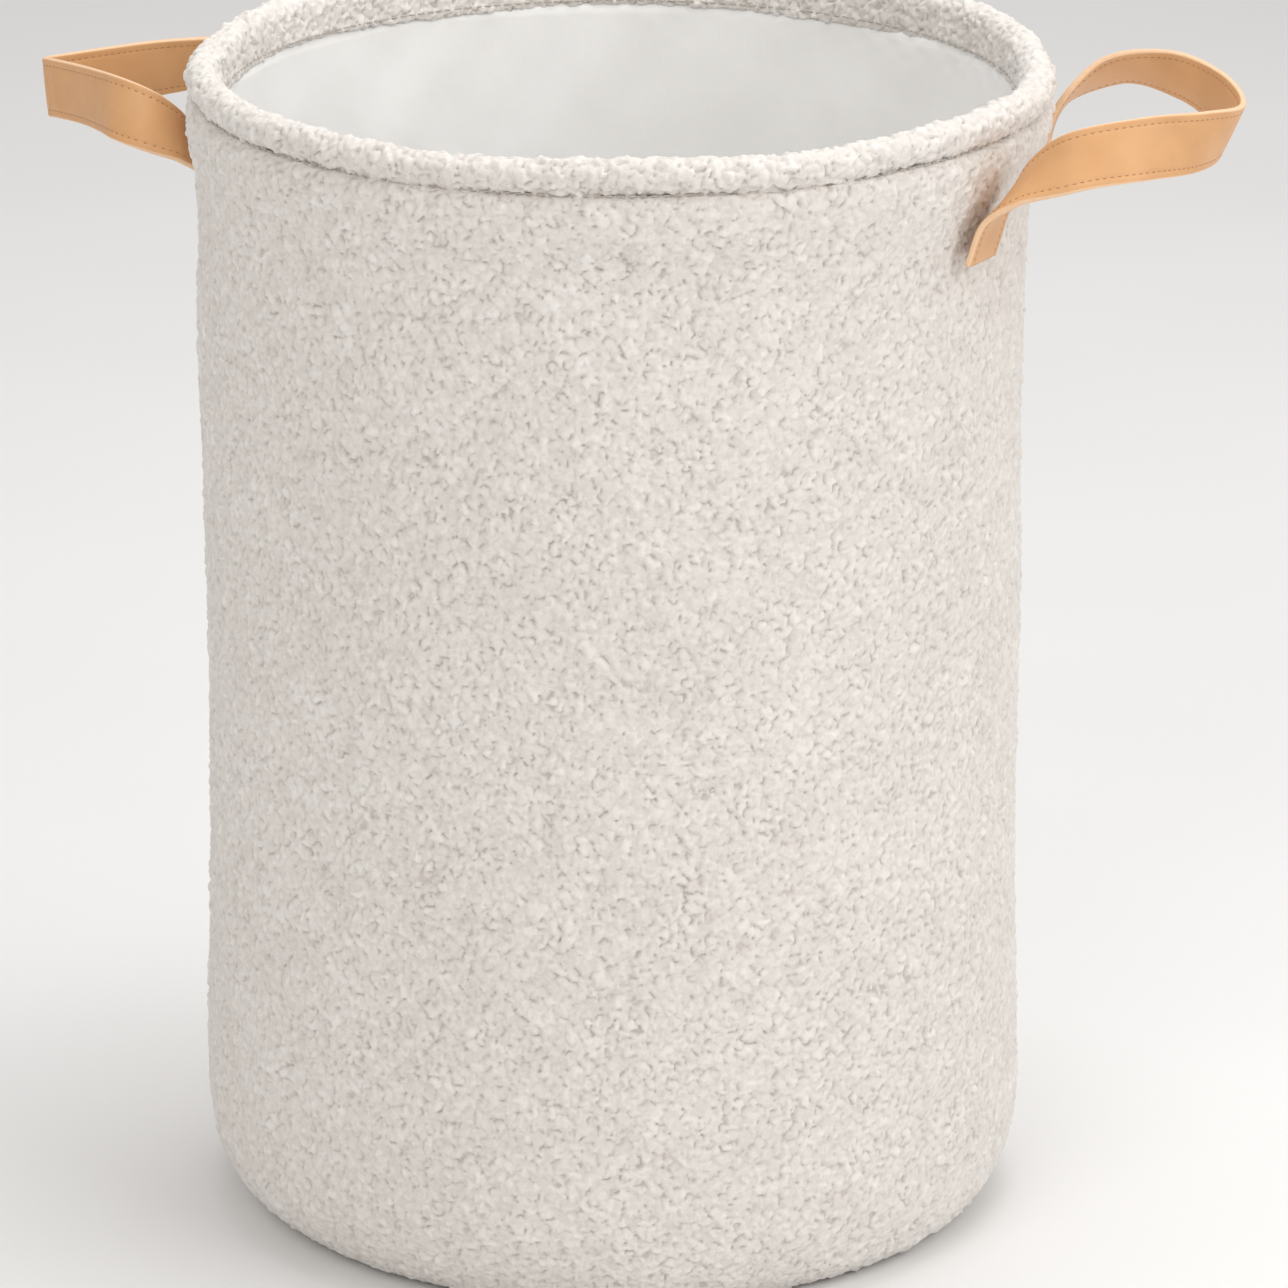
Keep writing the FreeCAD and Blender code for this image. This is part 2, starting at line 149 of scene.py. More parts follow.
def nubs(u, v, around, seed, step, long, wide, rise):
    """Each neighbouring nub's height and tone at every point: bent, domed grains of yarn,
    one to a cell, each with its own size, place and direction."""
    rng = np.random.default_rng(seed)
    nu = max(3, round(around / step))
    nv = int(np.ceil((v.max() - v.min()) / step)) + 6
    su = around / nu
    v = v - v.min() + 3 * step
    shape = (nu, nv)
    off_u = rng.uniform(0.0, 1.0, shape)
    off_v = rng.uniform(0.0, 1.0, shape)
    long = rng.uniform(*long, shape)
    wide = rng.uniform(*wide, shape)
    turn = rng.uniform(0, math.pi, shape)
    bend = rng.uniform(-0.16, 0.16, shape)
    clump = rng.normal(0, 0.6, shape)
    for axis in (0, 1):
        clump = (clump + np.roll(clump, 1, axis) + np.roll(clump, -1, axis)) / 3
    lift = clump + rng.normal(0, 0.16, shape)
    lift += 0.7 * (rng.random(shape) < 0.05)  # a few nubs stand proud
    tone = rng.uniform(0, 1, shape)
    iu = np.floor(u / su).astype(int)
    iv = np.floor(v / step).astype(int)
    for du in (-1, 0, 1):
        for dv in (-1, 0, 1):
            cu, cv = iu + du, np.clip(iv + dv, 0, nv - 1)
            k = (cu % nu, cv)
            x = u - (cu + off_u[k]) * su
            y = v - (cv + off_v[k]) * step
            c, s = np.cos(turn[k]), np.sin(turn[k])
            along = x * c + y * s
            across = y * c - x * s - bend[k] * along * along
            inside = 1 - (along / long[k]) ** 2 - (across / wide[k]) ** 2
            dome = rise * np.maximum(inside, 0) ** 0.7
            yield lift[k] + dome - (inside <= 0) * FAR_DOWN, tone[k]


def waves(u, v, seed, wavelength, around, count=7):
    """A smooth field of about -1 to 1 that wraps round the cloth."""
    rng = np.random.default_rng(seed)
    field = np.zeros(np.broadcast(u, v).shape)
    for _ in range(count):
        turns = max(1, round(around / (wavelength * rng.uniform(0.7, 1.8))))
        sign = rng.choice((-1, 1))
        up = TURN / (wavelength * rng.uniform(0.7, 1.8))
        field += np.sin(sign * turns * TURN * u / around + up * v + rng.uniform(0, TURN))
    return field / math.sqrt(count)


def pile_attributes(height, tone):
    """What the boucle material reads: 0 in the crevices to 1 on the nubs, for painted shade in the
    crevices, and each nub's tone.
    """
    return {"pile": np.clip((height + 0.3) / 1.9, 0, 1), "tone": tone}


def napped(points, around, seed, amount):
    """A closed grid of cloth raised by the pile, and the pile's attributes.

    The places of the nubs are shifted by gentle waves, so that no rows of them show.
    """
    rows, cols = points.shape[:2]
    u, v = np.meshgrid(np.arange(cols) * around / cols, np.arange(rows) * CELL)
    height, tone = pile(
        u + 0.7 * waves(u, v, seed + 1, 7, around, 14),
        v + 0.7 * waves(u, v, seed + 2, 7, around, 14),
        around,
        seed,
    )
    raised = amount * (height - PILE_MEAN)
    moved = points + surface_normals(points) * raised[..., None]
    return moved, pile_attributes(height, tone)


def surface_normals(points):
    """Outward normals of a closed grid whose columns run round and rows run up."""
    along = np.roll(points, -1, 1) - np.roll(points, 1, 1)
    return unit(np.cross(along, np.gradient(points, axis=0)))


# ---------------------------------------------------------------- shape of the wall
WALL_PROFILE = (  # height, distance outside the wall's widest radius
    (0, 0.0),
    (40, -0.1),
    (120, -1.0),
    (240, -1.8),
    (360, -2.0),
    (425, -1.8),
    (440, -1.2),
    (452, 0.6),
    (464, 4.2),
    (473, 5.6),
    (478.5, 5.3),
    (480.5, 4.6),
    (481.5, 3.5),
    (482.4, 0.9),
)
DENTS = (  # angle, height, depth, reach round, reach up
    (-130, 330, -2.6, 16, 60),
    (-105, 250, 1.8, 18, 50),
    (-92, 190, -2.4, 15, 60),
    (-60, 120, 1.6, 16, 60),
    (-40, 300, -1.4, 22, 90),
    (-20, 150, 2.2, 14, 34),
    (-165, 380, 1.6, 16, 40),
    (-160, 250, -1.3, 14, 60),
    (20, 200, -2.0, 20, 70),
    (70, 320, -2.2, 22, 80),
    (100, 150, 1.6, 20, 60),
    (140, 260, -2.0, 18, 60),
)
LEAN, LEAN_WAY = 3.5, math.radians(15)  # the wall stands this far off the rim's centre
WALL_RUN = 496  # length of the wall's cloth, up from the base's edge to the seam


def corner_height(angle):
    """The bottom edge is rounder on the right than on the left."""
    return 46 + 20 * np.cos(angle + 0.5)


def dents(angle, z):
    """Soft dents and the lean of the padded wall, which fade out at the seam and at the base,
    and small puckers along the seam."""
    total = 0.5 * waves(angle, z / RADIAN, 11, 1.1, TURN, 9)
    for at, level, depth, wide, tall in DENTS:
        off = (angle - math.radians(at) + math.pi) % TURN - math.pi
        total = total + depth * np.exp(
            -((off / math.radians(wide)) ** 2) - ((z - level) / tall) ** 2
        )
    total = total - LEAN * np.cos(angle - LEAN_WAY)
    fade = np.clip((z - 8) / 50, 0, 1) * np.clip((SEAM_Z - z) / 40, 0, 1)
    puckers = 0.45 * waves(angle, z / RADIAN, 13, 0.07, TURN, 9)
    return total * fade + puckers * np.exp(-(((SEAM_Z - z) / 12) ** 2))


def wall_grid():
    """Points of the outer wall's mean surface, from the base's edge up to the seam."""
    cols = round(TURN * WALL_R / CELL)
    angle = np.arange(cols) * TURN / cols
    heights, offsets = zip(*WALL_PROFILE)
    corner_width = WALL_R - BASE_R + 1
    foot, top = 1.2, SEAM_Z + 0.9
    rows = round(WALL_RUN / CELL)
    r_all = np.zeros((rows, cols))
    z_all = np.zeros((rows, cols))
    swing = np.linspace(0, math.pi / 2, 40)
    for i, a in enumerate(angle):
        high = corner_height(a)
        corner = foot + high * (1 - np.cos(swing))
        z = np.concatenate([corner, np.linspace(high + 2, top, 240)])
        r = WALL_R + np.interp(z, heights, offsets) - INSET
        r[: len(swing)] -= corner_width * (1 - np.sin(swing))
        r_all[:, i], z_all[:, i] = evenly(r, z, rows)
    r_all = smooth_rows(r_all)
    r_all += dents(angle[None, :], z_all)
    return round_grid(angle, r_all, z_all)


def evenly(r, z, rows):
    """The same profile with its points evenly spaced along it."""
    run = run_along(r, z)
    even = np.linspace(0, run[-1], rows)
    return np.interp(even, run, r), np.interp(even, run, z)


def run_along(r, z):
    """Length along a profile at each of its points."""
    return np.concatenate([[0], np.cumsum(np.hypot(np.diff(r), np.diff(z)))])


def round_grid(angle, r, z):
    """Points at these angles, distances from the bin's axis and heights."""
    return np.stack([r * np.cos(angle), r * np.sin(angle), z], -1)


def smooth_rows(values, passes=12):
    """Rounds off the corners of a profile, keeping its ends."""
    for _ in range(passes):
        values[1:-1] = 0.25 * values[:-2] + 0.5 * values[1:-1] + 0.25 * values[2:]
    return values


def outer_cloth(material, points, sections=10):
    """The boucle sleeve, in pieces side by side, each light enough for a fine pile."""
    rows, cols = points.shape[:2]
    around = TURN * WALL_R
    flatter_at_seam = np.clip((rows - 1 - np.arange(rows)) / 5, 0.3, 1)[:, None]
    points, attributes = napped(points, around, 5, flatter_at_seam)
    points[..., 2] = np.maximum(points[..., 2], 0.1)
    edges = np.linspace(0, cols, sections + 1).astype(int)
    for i in range(sections):
        pick = np.arange(edges[i], edges[i + 1] + 1) % cols
        part = points[:, pick]
        mesh = mesh_from(
            f"outer_cloth_{i + 1}",
            part.reshape(-1, 3),
            grid_faces(rows, len(pick)),
            {key: values[:, pick] for key, values in attributes.items()},
        )
        piece = new_object(mesh.name, mesh, material)
        cloth_sheet()
        finish_piece(piece, "outer_wall")


def felt_sleeve(material, points):
    """The padding inside the wall, which follows the cloth outside it."""
    part = points[::6, ::6]
    part = part - surface_normals(part) * 3.4
    height = part[:, 0, 2]
    part = part[(height > 32) & (height < SEAM_Z - 8)]
    rows, cols = part.shape[:2]
    mesh = mesh_from("felt_sleeve", part.reshape(-1, 3), grid_faces(rows, cols, True))
    piece = new_object(mesh.name, mesh, material)
    thicken(piece, 1.6)
    finish_piece(piece, "wall_interlining")


def rim_profile():
    """Distances and heights along the hem: tucked in at the seam, over the roll, down inside
    and turned under at the facing's edge."""
    swing = np.linspace(math.radians(-52), math.radians(180), 60)
    r = RING_R + (ROLL - INSET) * np.cos(swing)
    z = RING_Z + (ROLL - INSET) * np.sin(swing)
    tuck_r, tuck_z = [RING_R + 0.6, r[0] - 1.4], [SEAM_Z - 0.8, SEAM_Z + 1.4]
    down = np.linspace(RING_Z - 2, FACING_Z + 0.8, 16)
    in_r = RING_R - ROLL + INSET - 1.4 * np.clip((RING_Z - down) / 12, 0, 1)
    end_r, end_z = [in_r[-1] + 1.2, in_r[-1] + 2.4], [FACING_Z + 0.1, FACING_Z + 0.5]
    r = np.concatenate([tuck_r, r, in_r, end_r])
    z = np.concatenate([tuck_z, z, down, end_z])
    rows = round(run_along(r, z)[-1] / CELL)
    return smooth_rows(np.stack(evenly(r, z, rows), 1), 2).T


def rim_cloth(material):
    """The hem of the same cloth: rolled over the wire and down inside as a facing."""
    around = TURN * RIM_R
    cols = round(around / CELL)
    angle = np.arange(cols) * TURN / cols
    r, z = rim_profile()
    wobble = 0.5 * waves(angle, 0 * angle, 21, 0.6, TURN)
    wobble += 0.35 * waves(angle, 0 * angle, 23, 0.06, TURN, 9)
    sway = 0.7 * waves(angle, 0 * angle, 22, 0.9, TURN)
    sway += 0.25 * waves(angle, 0 * angle, 24, 0.08, TURN, 9)
    points = round_grid(angle, r[:, None] + wobble, z[:, None] + sway)
    points, attributes = napped(points, around, 8, 1.15)
    mesh = mesh_from(
        "rim_cloth", points.reshape(-1, 3), grid_faces(len(r), cols, True), attributes
    )
    piece = new_object(mesh.name, mesh, material)
    cloth_sheet()
    finish_piece(piece, "rim_roll")


LINING_TURN = (24, 30)  # width and height of the lining's rounded lower corner


def lining(material):
    """The smooth white lining, with soft wrinkles."""
    cols, rows, turn_in = 480, 240, 24
    angle = np.arange(cols) * TURN / cols
    bend = np.linspace(0, math.pi / 2, turn_in)
    z = np.concatenate([
        LINING_FLOOR + 0.2 + LINING_TURN[1] * (1 - np.cos(bend)),
        np.linspace(LINING_FLOOR + LINING_TURN[1] + 2, FACING_Z + 2.5, rows - turn_in),
    ])
    r = np.full(rows, LINING_R)
    r[:turn_in] -= LINING_TURN[0] * (1 - np.sin(bend))
    aa, zz = np.meshgrid(angle, z)
    folds = 0.5 * waves(aa, zz / RADIAN, 31, 0.75, TURN, 9)
    folds += 0.3 * waves(aa, zz / RADIAN, 32, 0.3, TURN)
    free = np.clip((zz - LINING_FLOOR - 8) / 30, 0, 1)
    tucked = 3.0 * np.clip((zz - FACING_Z + 0.5) / 2, 0, 1)
    slack = free * np.maximum(1.1 + folds, 0.2)
    rr = r[:, None] - slack + np.minimum(dents(aa, zz), 0) + tucked
    points = round_grid(aa, rr, zz)
    mesh = mesh_from("lining_cloth", points.reshape(-1, 3), grid_faces(rows, cols, True)[:, ::-1])
    piece = new_object(mesh.name, mesh, material)
    thicken(piece, 0.6)
    cloth_sheet()
    finish_piece(piece, "lining_wall")


def thicken(piece, thickness):
    """Gives a sheet its thickness, on the side its faces turn away from."""
    solid = piece.modifiers.new("cloth", "SOLIDIFY")
    solid.thickness = thickness * MM
    solid.offset = -1


def disc_grid(radius, step):
    """Angles and distances of a disc's points, for a mesh of rings."""
    rings = int(radius / step)
    cols = round(TURN * radius / step)
    return np.meshgrid(np.arange(cols) * TURN / cols, np.linspace(0.4, radius, rings))


def lining_floor(material):
    """The lining's round bottom, with a few soft undulations."""
    radius = LINING_R - LINING_TURN[0] + 2
    aa, rr = disc_grid(radius, 2.5)
    x, y = rr * np.cos(aa), rr * np.sin(aa)
    swell = 0.9 * (1 + waves(x + radius, y, 41, 90, 3 * radius))
    swell *= np.clip((radius - rr) / 30, 0, 1)
    points = np.stack([x, y, LINING_FLOOR + 0.2 + swell], -1)
    mesh = mesh_from("lining_floor", points.reshape(-1, 3), grid_faces(*aa.shape, True))
    piece = new_object(mesh.name, mesh, material)
    cloth_sheet(math.pi * radius**2)
    finish_piece(piece, "lining_base")


def base_cloth(material):
    """The round of boucle under the bin."""
    aa, rr = disc_grid(BASE_R, 1.3)
    x, y = rr * np.cos(aa), rr * np.sin(aa)
    height, tone = pile(x + BASE_R, y + BASE_R, 4 * BASE_R, 9)
    z = np.maximum(1.75 - 0.75 * height, 0.05)
    mesh = mesh_from(
        "base_cloth",
        np.stack([x, y, z], -1).reshape(-1, 3),
        grid_faces(*aa.shape, True)[:, ::-1],
        pile_attributes(height, tone),
    )
    piece = new_object(mesh.name, mesh, material)
    cloth_sheet(math.pi * BASE_R**2)
    finish_piece(piece, "outer_base")


def cloth_sheet(area=None):
    """Stands where a piece of cloth is made and does nothing to it; the area, in square
    millimetres, is not used.
    """
    area = None if area is None else area * MM * MM


def finish_piece(piece, node):
    """The piece rides on the bin's own body and stands for one CAD node."""
    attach(piece, "root")
    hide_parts(node)


# ---------------------------------------------------------------- stitches
SEAM_PITCH, SEAM_STITCH = 4.5, 3.4  # from stitch to stitch, and a stitch's length, in a seam


def stitches(name, spots, ways, out, length, radius, material):
    """A row of stitches: short rounded lengths of thread, lying along `ways`."""
    sides, rings = 6, 7
    swing = np.linspace(0, math.pi, rings)
    turn = np.arange(sides) * TURN / sides
    along = np.repeat(-np.cos(swing), sides) * length / 2
    girth = np.repeat(np.sin(swing) ** 0.55, sides) * radius
    side_a = girth * np.tile(np.cos(turn), rings)
    side_b = girth * np.tile(np.sin(turn), rings)
    ways, out = unit(ways), unit(out)
    across = unit(np.cross(ways, out))
    points = (
        spots[:, None]
        + ways[:, None] * along[None, :, None]
        + out[:, None] * side_a[None, :, None]
        + across[:, None] * side_b[None, :, None]
    )
    one = grid_faces(rings, sides, True)
    faces = (one[None] + (np.arange(len(spots)) * rings * sides)[:, None, None]).reshape(-1, 4)
    return new_object(name, mesh_from(name, points.reshape(-1, 3), faces), material)


def ring_stitches(name, radius, z, thread, material, node, out=(1, 0)):
    """Stitches round the bin; out is their outward way, as radial and upward shares."""
    rng = np.random.default_rng(3)
    count = round(TURN * radius / SEAM_PITCH)
    angle = (np.arange(count) + rng.uniform(-0.06, 0.06, count)) * TURN / count
    radial = np.stack([np.cos(angle), np.sin(angle), 0 * angle], -1)
    tangent = np.stack([-np.sin(angle), np.cos(angle), rng.uniform(-0.08, 0.08, count)], -1)
    upward = np.array([0, 0, 1.0])
    spots = radial * radius + upward * z
    outward = radial * out[0] + upward * out[1]
    piece = stitches(name, spots, tangent, outward, SEAM_STITCH, thread, material)
    finish_piece(piece, node)


# ---------------------------------------------------------------- straps
STRAP_W = 25.4
STRAP_T = 2.7
STITCH_IN = 3.1  # from the strap's edge to its stitches
STITCH_UP = STRAP_T / 2 - 0.2  # from the strap's middle to the stitches on its faces
RIGHT_STRAP = (  # centre of the strap, and the way its upper edge points
    ((165, -55, 435), (2.3, 9.7, 0)),
    ((172, -56, 455), (2, 9.5, 1)),
    ((185, -61, 470), (-1, 9, 4)),
    ((203, -65, 480), (-4, 6, 8)),
    ((232, -48, 484), (-2, 2, 9)),
    ((248, -25, 482), (1, 0, 9)),
    ((255, 4, 480), (4, 0, 9)),
    ((246, 32, 484), (1, -1, 9)),
    ((222, 54, 489), (-2, -4, 9)),
    ((194, 62, 487), (-3, -8, 5)),
    ((175, 58, 474), (0, -9, 1)),
    ((165, 55, 435), (3, -9, 0)),
)
LEFT_STRAP = (
    ((-172, -26, 435), (-1.5, 9.9, 0)),
    ((-174, -28, 448), (-2, 9, 1)),
    ((-180, -38, 459), (-1, 8, 5)),
    ((-190, -45, 466), (1, 6, 8)),
    ((-204, -42, 470), (0.7, 3.2, 9)),
    ((-219, -26, 469), (-0.3, 1.2, 9)),
    ((-236, -7, 466.5), (-0.9, 0.4, 9)),
    ((-250, 6, 464.5), (-1, 0.5, 9)),
    ((-254, 11, 463.5), (-1, 0.5, 9)),
    ((-253, 16, 463), (-1, 0, 9)),
    ((-238, 35, 463), (0, 0, 9)),
    ((-219, 57, 463), (1, -1, 9)),
    ((-203, 72, 463), (2.5, -2.5, 9)),
    ((-188, 85, 463), (3, -4.5, 8.5)),
    ((-172, 93, 461), (1.5, -7, 7)),
    ((-160, 92, 456), (-2, -8.5, 4.5)),
    ((-155, 85.5, 447), (-4.4, -8.8, 1)),
    ((-153, 83, 435), (-4.8, -8.8, 0)),
)


def smooth_line(keys, step=1.0):
    """Points each step along a smooth curve through the keys' positions, with the keys' other
    numbers carried along."""
    keys = np.array(keys, float)
    run = np.concatenate([[0], np.cumsum(np.linalg.norm(np.diff(keys[:, :3], axis=0), axis=1))])
    slope = np.gradient(keys, run, axis=0)
    at = np.linspace(0, run[-1], round(run[-1] / step) + 1)
    k = np.clip(np.searchsorted(run, at, side="right") - 1, 0, len(run) - 2)
    long = (run[k + 1] - run[k])[:, None]
    t = (at[:, None] - run[k][:, None]) / long
    line = (
        keys[k] * (2 * t**3 - 3 * t**2 + 1)
        + keys[k + 1] * (3 * t**2 - 2 * t**3)
        + slope[k] * long * (t**3 - 2 * t**2 + t)
        + slope[k + 1] * long * (t**3 - t**2)
    )
    return line


def strap_frames(stations):
    """Centre, upper-edge way, face way and forward way at each millimetre of a strap."""
    line = smooth_line([(*centre, *unit(np.array(up, float))) for centre, up in stations])
    centre = line[:, :3]
    ahead = unit(np.gradient(centre, axis=0))
    upper = line[:, 3:]
    upper = unit(upper - ahead * np.sum(upper * ahead, 1, keepdims=True))
    return centre, upper, np.cross(ahead, upper), ahead


def strap_section():
    """Outline of the strap's cross-section: across and thick, rounded at its corners, with
    the faces drawn down a little along the two rows of stitches."""
    half_w, half_t, round_r = STRAP_W / 2, STRAP_T / 2, 1.0
    across = np.linspace(-half_w + round_r, half_w - round_r, 40)
    sunk = 0.22 * sum(
        np.exp(-(((across - side * (half_w - STITCH_IN)) / 0.7) ** 2)) for side in (-1, 1)
    )
    face = half_t - sunk + 0.12 * (1 - (across / half_w) ** 2)
    swing = np.linspace(math.pi / 2, -math.pi / 2, 9)[1:-1]
    edge_x = half_w - round_r + round_r * np.cos(swing)
    edge_y = np.sign(np.sin(swing)) * (half_t - round_r) + round_r * np.sin(swing)
    outline = np.concatenate([
        np.stack([across, face], 1),
        np.stack([edge_x, edge_y], 1),
        np.stack([across[::-1], -face[::-1]], 1),
        np.stack([-edge_x[::-1], edge_y[::-1]], 1),
    ])
    # marks the narrow edges for the leather's painted highlight
    edge = np.clip((np.abs(outline[:, 0]) - half_w + 0.7) / 0.4, 0, 1)
    return outline, edge


def strap(handle, stations, leather, thread):
    """One whole strap: sewn end, curl, loop, curl and sewn end."""
    centre, upper, face, ahead = strap_frames(stations)
    outline, edge = strap_section()
    points = (
        centre[:, None]
        + upper[:, None] * outline[None, :, :1]
        + face[:, None] * outline[None, :, 1:]
    )
    ends = [points[:1] * 0 + centre[i] + upper[i] * outline[None, :, :1] for i in (0, -1)]
    points = np.concatenate([ends[0], points, ends[1]])
    rows, sides = points.shape[:2]
    edge = np.tile(edge, (rows, 1))
    # the cut ends get the painted highlight too
    edge[[0, -1]] = 1
    mesh = mesh_from(
        f"{handle}_strap",
        points.reshape(-1, 3),
        grid_faces(rows, sides, True)[:, ::-1],
        {"edge": edge},
    )
    body = f"{handle}_handle"
    piece = new_object(mesh.name, mesh, leather)
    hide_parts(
        *(f"{body}_{part}" for part in ("front_tab", "rear_tab", "front_leg", "rear_leg", "grip")),
    )
    bend_with(piece)
    strap_stitches(handle, centre, upper, face, ahead, thread)


def strap_stitches(handle, centre, upper, face, ahead, thread):
    """Stitches near both edges, on both faces."""
    rows = slice(3, len(centre) - 3, 3)
    spots, ways, out = [], [], []
    for side in (-1, 1):
        for front in (-1, 1):
            spots.append(
                centre[rows]
                + upper[rows] * side * (STRAP_W / 2 - STITCH_IN)
                + face[rows] * front * STITCH_UP
            )
            ways.append(ahead[rows])
            out.append(face[rows] * front)
    piece = stitches(
        f"{handle}_strap_stitches",
        np.concatenate(spots),
        np.concatenate(ways),
        np.concatenate(out),
        1.9,
        0.22,
        thread,
    )
    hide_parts(f"{handle}_handle_edge_threads")
    bend_with(piece)
    tab_stitches(handle, centre, upper, face, thread)


def tab_stitches(handle, centre, upper, face, thread):
    """A row of stitches across each sewn end, on the side away from the bin."""
    spots, ways, out = [], [], []
    steps = np.linspace(-1, 1, 7)[1:-1] * (STRAP_W / 2 - STITCH_IN)
    for k in (4, len(centre) - 5):
        for step in steps:
            spots.append(centre[k] + upper[k] * step + face[k] * side_out(centre[k], face[k]))
            ways.append(upper[k])
            out.append(face[k])
    piece = stitches(
        f"{handle}_tab_stitches", np.array(spots), np.array(ways), np.array(out), 2.2, 0.24, thread
    )
    finish_piece(piece, f"{handle}_handle_tab_stitches")


def side_out(centre, face):
    """Distance along face that puts a stitch on the strap's side away from the bin."""
    return STITCH_UP if centre[0] * face[0] + centre[1] * face[1] > 0 else -STITCH_UP


def bend_with(piece):
    """Bakes the piece's placement into its mesh."""
    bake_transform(piece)


# ---------------------------------------------------------------- materials
class Nodes:
    """Short names for building a material's nodes."""

    def __init__(self, name):
        self.material = bpy.data.materials.new(name)
        self.material.use_nodes = True
        self.tree = self.material.node_tree
        self.shader = self.tree.nodes["Principled BSDF"]
        self.place = self.add("ShaderNodeTexCoord").outputs["Object"]

    def add(self, kind, **settings):
        node = self.tree.nodes.new(kind)
        for key, value in settings.items():
            setattr(node, key, value)
        return node

    def link(self, source, target):
        self.tree.links.new(source, target)

    def set(self, **values):
        for key, value in values.items():
            self.shader.inputs[key.replace("_", " ")].default_value = value

    def attribute(self, name):
        return self.add("ShaderNodeAttribute", attribute_name=name).outputs["Fac"]

    def noise(self, size, detail=2.0, roughness=0.5, stretch=None):
        node = self.add("ShaderNodeTexNoise")
        node.inputs["Scale"].default_value = 1000 / size
        node.inputs["Detail"].default_value = detail
        node.inputs["Roughness"].default_value = roughness
        self.link(self.stretched(stretch), node.inputs["Vector"])
        return node.outputs["Fac"]

    def cells(self, size, feature="F1"):
        node = self.add("ShaderNodeTexVoronoi", feature=feature)
        node.inputs["Scale"].default_value = 1000 / size
        self.link(self.place, node.inputs["Vector"])
        return node.outputs["Distance"]

    def stretched(self, stretch):
        if not stretch:
            return self.place
        mapping = self.add("ShaderNodeMapping")
        mapping.inputs["Scale"].default_value = stretch
        self.link(self.place, mapping.inputs["Vector"])
        return mapping.outputs["Vector"]

    def ramp(self, source, *stops):
        node = self.add("ShaderNodeValToRGB")
        colours = node.color_ramp.elements
        while len(colours) < len(stops):
            colours.new(0.5)
        for element, (at, colour) in zip(colours, stops):
            element.position = at
            element.color = (*colour, 1)
        self.link(source, node.inputs["Fac"])
        return node.outputs["Color"]

    def mix(self, fac, a, b, kind="MIX"):
        node = self.add("ShaderNodeMix", data_type="RGBA", blend_type=kind)
        if isinstance(fac, float):
            node.inputs[0].default_value = fac
        else:
            self.link(fac, node.inputs[0])
        self.link(a, node.inputs[6])
        self.link(b, node.inputs[7])
        return node.outputs[2]

    def scaled(self, source, low, high):
        node = self.add("ShaderNodeMapRange")
        node.inputs["To Min"].default_value = low
        node.inputs["To Max"].default_value = high
        self.link(source, node.inputs["Value"])
        return node.outputs["Result"]

    def bump(self, height, distance, strength=1.0, under=None):
        node = self.add("ShaderNodeBump")
        node.inputs["Strength"].default_value = strength
        node.inputs["Distance"].default_value = distance * MM
        self.link(height, node.inputs["Height"])
        if under is not None:
            self.link(under, node.inputs["Normal"])
        return node.outputs["Normal"]

    def finish(self, colour, roughness, normal):
        self.link(colour, self.shader.inputs["Base Color"])
        self.link(roughness, self.shader.inputs["Roughness"])
        self.link(normal, self.shader.inputs["Normal"])
        return self.material


def boucle_material():
    """Looped wool-like yarn with fine fibres: painted shade darkens the crevices and the nub tops
    are painted paler.
    """
    m = Nodes("boucle")
    # painted shade: the colour darkens from the nub tops down into the crevices between them
    crevice_shade = m.ramp(
        m.attribute("pile"),
        (0.0, (0.62, 0.575, 0.53)),
        (0.4, (0.79, 0.75, 0.71)),
        (1.0, (0.87, 0.84, 0.805)),
    )
    nub = m.ramp(m.attribute("tone"), (0.0, (0.90, 0.89, 0.88)), (1.0, (1.0, 1.0, 1.0)))
    patches = m.ramp(m.noise(60, 3), (0.3, (0.955, 0.95, 0.945)), (0.7, (1.0, 1.0, 1.0)))
    colour = m.mix(1.0, m.mix(1.0, crevice_shade, nub, "MULTIPLY"), patches, "MULTIPLY")
    fibres = m.bump(m.noise(0.35, 3, 0.65), 0.16)
    normal = m.bump(m.noise(0.9, 2), 0.3, 1.0, fibres)
    m.set(Sheen_Weight=0.25, Sheen_Roughness=0.6, Specular_IOR_Level=0.15)
    return m.finish(colour, m.scaled(m.noise(1.2), 0.86, 1.0), normal)


def lining_material():
    """White coated cloth: a faint plain weave under a soft sheen."""
    m = Nodes("lining")
    colour = m.ramp(m.noise(45, 4), (0.3, (0.88, 0.875, 0.86)), (0.7, (0.93, 0.925, 0.915)))
    weave = m.bump(m.noise(0.5, 2, 0.6, (1, 1, 0.35)), 0.05)
    normal = m.bump(m.noise(14, 3), 0.8, 0.5, weave)
    m.set(Sheen_Weight=0.1, Specular_IOR_Level=0.3)
    return m.finish(colour, m.scaled(m.noise(25), 0.5, 0.68), normal)


def leather_material():
    """Smooth tan leather cloth with a fine grain and soft gloss; its narrow edges are painted paler
    as a highlight.
    """
    m = Nodes("strap_leather")
    tan = m.ramp(m.noise(16, 4), (0.3, (0.645, 0.345, 0.155)), (0.7, (0.705, 0.39, 0.18)))
    pores = m.ramp(m.cells(0.55), (0.0, (0.93, 0.92, 0.91)), (0.35, (1.0, 1.0, 1.0)))
    face = m.mix(1.0, tan, pores, "MULTIPLY")
    # painted highlight: the narrow edges and cut ends are a paler tan, as where light catches them
    edge = m.ramp(m.noise(1.5, 2), (0.3, (0.84, 0.55, 0.33)), (0.7, (0.88, 0.61, 0.40)))
    colour = m.mix(m.attribute("edge"), face, edge)
    grain = m.bump(m.cells(0.7, "SMOOTH_F1"), 0.05, 0.5)
    normal = m.bump(m.noise(5, 3), 0.12, 0.4, grain)
    m.set(Specular_IOR_Level=0.35)
    return m.finish(colour, m.scaled(m.noise(2.5, 3), 0.34, 0.46), normal)


def thread_material(name, dark, pale):
    """Twisted sewing thread."""
    m = Nodes(name)
    colour = m.ramp(m.noise(1.5, 2), (0.3, dark), (0.7, pale))
    m.set(Sheen_Weight=0.15)
    return m.finish(colour, m.scaled(m.noise(1.0), 0.6, 0.8), m.bump(m.noise(0.25, 1), 0.06))


